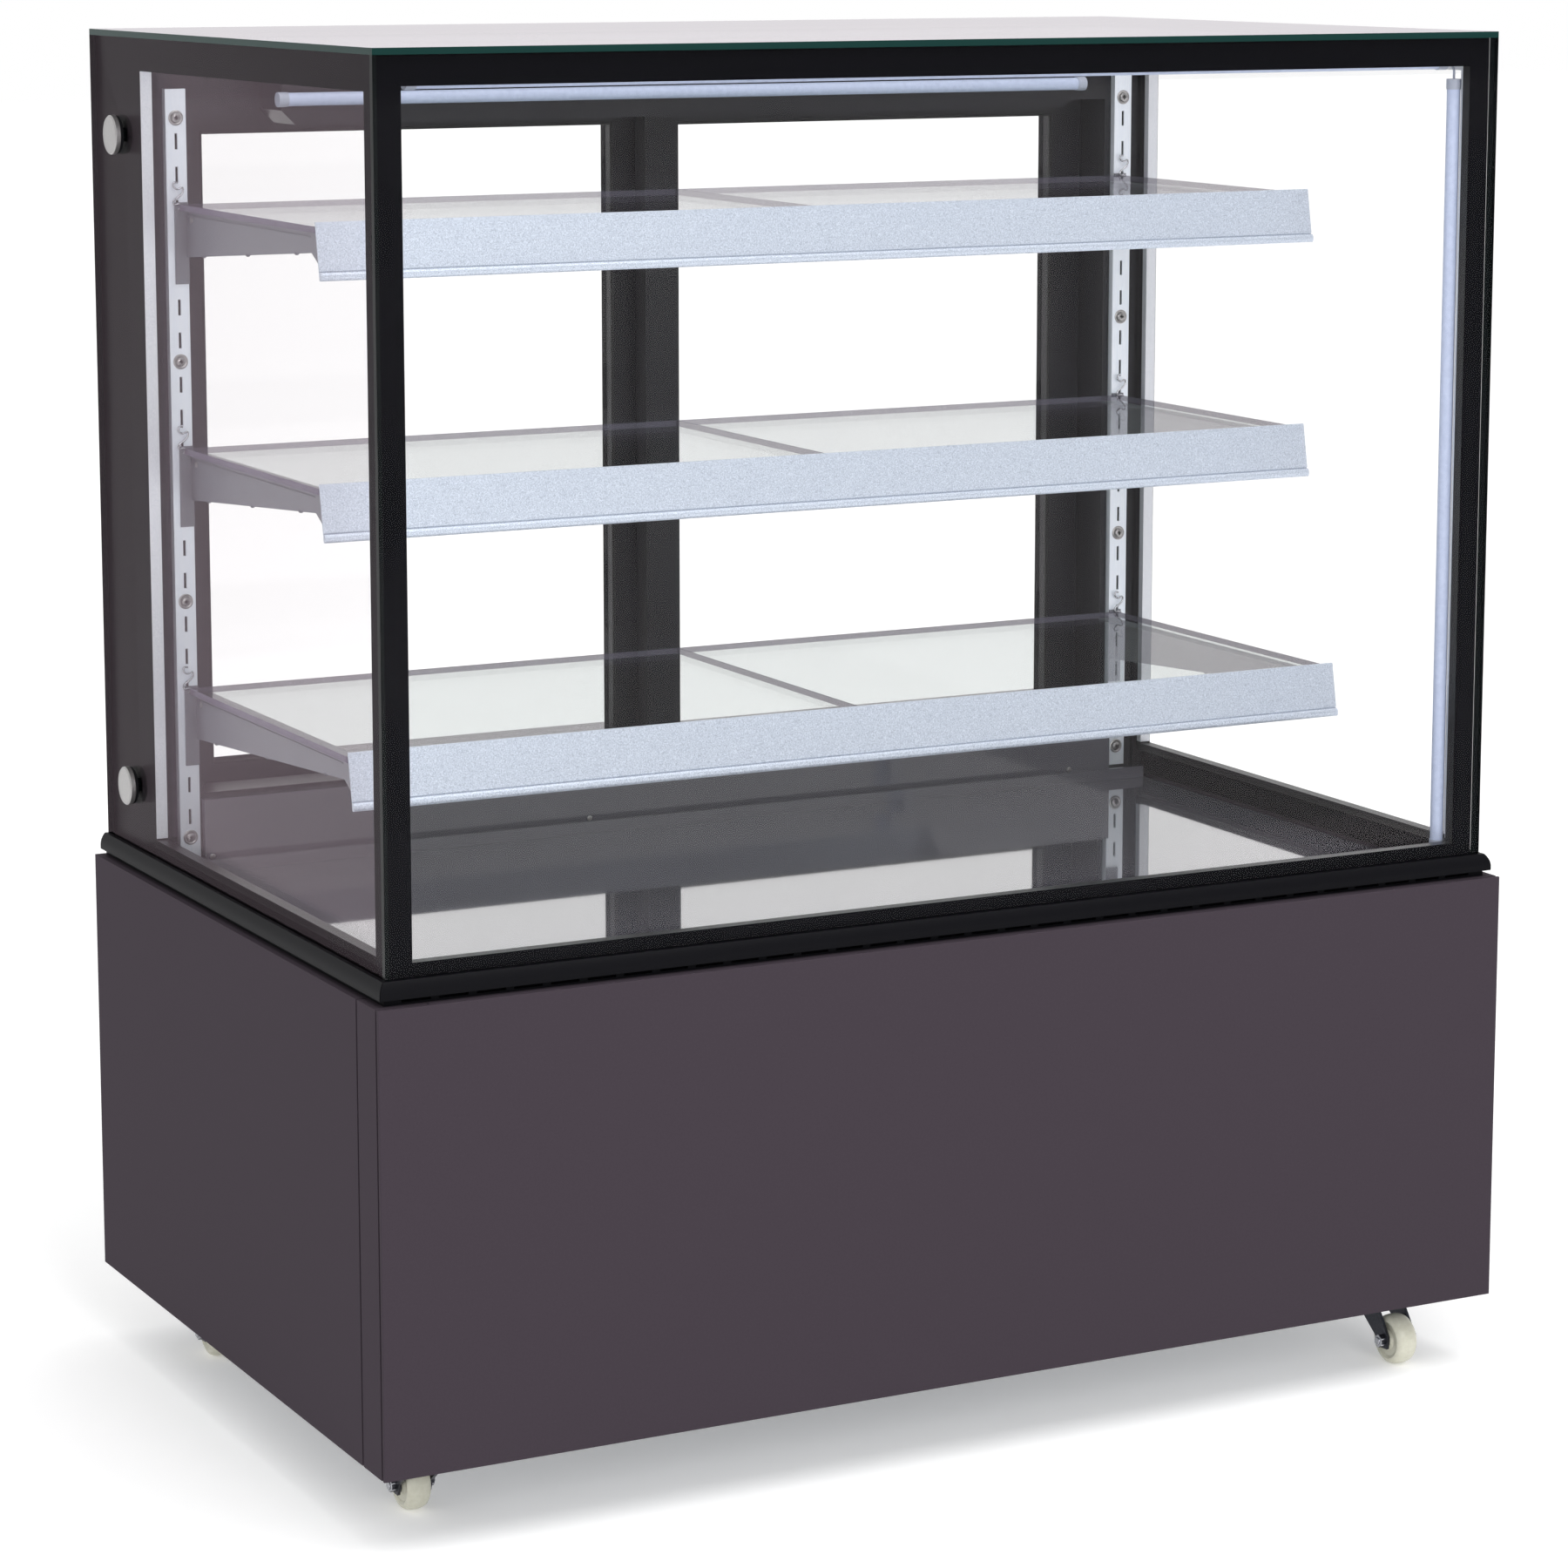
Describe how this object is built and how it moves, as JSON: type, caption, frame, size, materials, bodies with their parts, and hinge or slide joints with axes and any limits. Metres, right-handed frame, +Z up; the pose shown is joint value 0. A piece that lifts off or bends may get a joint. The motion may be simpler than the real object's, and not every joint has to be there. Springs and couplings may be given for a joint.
{
  "type": "bakery display case",
  "caption": "Free-standing refrigerated bakery display case on castors, with a square glass chamber, glass shelves, rear sliding doors and a taupe metal cabinet.",
  "frame": {"origin": "on the floor, under the middle of the case", "axes": "+Z up; +X to the right seen from the front; -Y towards the customer side"},
  "size_m": [1.2, 0.75, 1.336],
  "materials": {
    "zinc_sheet": "galvanised",
    "cabinet_paint": "flat taupe-grey powder coat",
    "foam_panel": "foam sandwich skin",
    "black_enamel": "gloss enamel",
    "rubber": "moulded",
    "finned_aluminium": "thin fins",
    "copper": "drawn copper tube",
    "black_plastic": "moulded satin",
    "castor_zinc": "dark zinc plate",
    "frame_black": "satin charcoal",
    "clear_glass": "toughened float glass",
    "spacer_aluminium": "perforated",
    "black_frit": "fired enamel border",
    "satin_steel": "satin",
    "bright_zinc": "bright zinc plate",
    "grey_bracket": "grey powder coat",
    "satin_aluminium": "anodised",
    "lamp_tube": "frosted tube",
    "lamp_cap": "moulded cap and lead",
    "dark_deck": "gloss dark grey",
    "nylon": "moulded nylon"
  },
  "bodies": {
    "case": {"base_pan": "zinc_sheet", "frame_members": "zinc_sheet", "left_side_panel": "cabinet_paint", "right_side_panel": "cabinet_paint", "front_panel": "cabinet_paint", "corner_strips": "cabinet_paint", "rear_service_panel": "cabinet_paint", "insulated_tub": "foam_panel", "compressor": "black_enamel", "compressor_mounts": "rubber", "condenser_coil": "finned_aluminium", "condenser_shroud": "zinc_sheet", "fan_motors": "zinc_sheet", "refrigerant_pipes": "copper", "drain_tray": "black_plastic", "evaporator_coil": "finned_aluminium", "evaporator_baffle": "zinc_sheet", "control_panel": "black_plastic", "mains_gland": "black_plastic", "castor_plates": "castor_zinc", "vent_strip": "black_plastic", "skirt_moulding": "black_plastic", "rear_posts": "frame_black", "rear_header": "frame_black", "rear_sill": "frame_black", "front_glass": "clear_glass", "left_glass": "clear_glass", "right_glass": "clear_glass", "top_glass": "clear_glass", "glass_spacers": "spacer_aluminium", "glass_borders": "black_frit", "glass_clamps": "satin_steel", "shelf_uprights": "bright_zinc", "shelf_brackets": "grey_bracket", "shelf_rails": "satin_aluminium", "shelf_glass": "clear_glass", "lamps": "lamp_tube", "lamp_fittings": "lamp_cap", "deck_panel": "dark_deck", "rear_duct_cover": "dark_deck", "fasteners": "satin_steel"},
    "left_door": {"left_door_frame": "frame_black", "left_door_glass": "clear_glass"},
    "right_door": {"right_door_frame": "frame_black", "right_door_glass": "clear_glass"},
    "condenser_fan_body": {"condenser_fan": "black_plastic"},
    "down_button_body": {"down_button": "black_plastic"},
    "evaporator_fan_left_body": {"evaporator_fan_left": "black_plastic"},
    "evaporator_fan_right_body": {"evaporator_fan_right": "black_plastic"},
    "light_switch_body": {"light_switch": "black_plastic"},
    "power_switch_body": {"power_switch": "black_plastic"},
    "up_button_body": {"up_button": "black_plastic"},
    "fork_front_left": {"castor_fork_front_left": "castor_zinc"},
    "wheel_front_left": {"castor_wheel_front_left": "nylon"},
    "fork_front_right": {"castor_fork_front_right": "castor_zinc"},
    "wheel_front_right": {"castor_wheel_front_right": "nylon"},
    "fork_rear_left": {"castor_fork_rear_left": "castor_zinc"},
    "wheel_rear_left": {"castor_wheel_rear_left": "nylon"},
    "fork_rear_right": {"castor_fork_rear_right": "castor_zinc"},
    "wheel_rear_right": {"castor_wheel_rear_right": "nylon"}
  },
  "joints": [
    {"name": "left_door_slide", "type": "slide", "parent": "case", "child": "left_door", "axis": [1, 0, 0], "range_m": [0, 0.513]},
    {"name": "right_door_slide", "type": "slide", "parent": "case", "child": "right_door", "axis": [1, 0, 0], "range_m": [-0.513, 0]},
    {"name": "evaporator_fan_left_spin", "type": "hinge", "parent": "case", "child": "evaporator_fan_left_body", "pos_m": [-0.24, 0.061, 0.44375], "axis": [0, 1, 0], "continuous": true},
    {"name": "evaporator_fan_right_spin", "type": "hinge", "parent": "case", "child": "evaporator_fan_right_body", "pos_m": [0.24, 0.061, 0.44375], "axis": [0, 1, 0], "continuous": true},
    {"name": "condenser_fan_spin", "type": "hinge", "parent": "case", "child": "condenser_fan_body", "pos_m": [0.23, 0.259, 0.199], "axis": [0, 1, 0], "continuous": true},
    {"name": "up_button_press", "type": "slide", "parent": "case", "child": "up_button_body", "axis": [0, -1, 0], "range_m": [0, 0.0008], "stiffness_N_per_m": 1500},
    {"name": "down_button_press", "type": "slide", "parent": "case", "child": "down_button_body", "axis": [0, -1, 0], "range_m": [0, 0.0008], "stiffness_N_per_m": 1500},
    {"name": "power_switch_rock", "type": "hinge", "parent": "case", "child": "power_switch_body", "pos_m": [0.26, 0.369, 0.446], "axis": [1, 0, 0], "range_deg": [-16, 0]},
    {"name": "light_switch_rock", "type": "hinge", "parent": "case", "child": "light_switch_body", "pos_m": [0.282, 0.369, 0.446], "axis": [1, 0, 0], "range_deg": [-16, 0]},
    {"name": "swivel_front_left", "type": "hinge", "parent": "case", "child": "fork_front_left", "pos_m": [-0.524, -0.287, 0.071], "axis": [0, 0, 1], "continuous": true},
    {"name": "roll_front_left", "type": "hinge", "parent": "fork_front_left", "child": "wheel_front_left", "pos_m": [-0.524, -0.252, 0.025], "axis": [1, 0, 0], "continuous": true},
    {"name": "swivel_front_right", "type": "hinge", "parent": "case", "child": "fork_front_right", "pos_m": [0.524, -0.287, 0.071], "axis": [0, 0, 1], "continuous": true},
    {"name": "roll_front_right", "type": "hinge", "parent": "fork_front_right", "child": "wheel_front_right", "pos_m": [0.524, -0.322, 0.025], "axis": [1, 0, 0], "continuous": true},
    {"name": "swivel_rear_left", "type": "hinge", "parent": "case", "child": "fork_rear_left", "pos_m": [-0.524, 0.287, 0.071], "axis": [0, 0, 1], "continuous": true},
    {"name": "roll_rear_left", "type": "hinge", "parent": "fork_rear_left", "child": "wheel_rear_left", "pos_m": [-0.524, 0.252, 0.025], "axis": [1, 0, 0], "continuous": true},
    {"name": "swivel_rear_right", "type": "hinge", "parent": "case", "child": "fork_rear_right", "pos_m": [0.524, 0.287, 0.071], "axis": [0, 0, 1], "continuous": true},
    {"name": "roll_rear_right", "type": "hinge", "parent": "fork_rear_right", "child": "wheel_rear_right", "pos_m": [0.524, 0.322, 0.025], "axis": [1, 0, 0], "continuous": true}
  ]
}
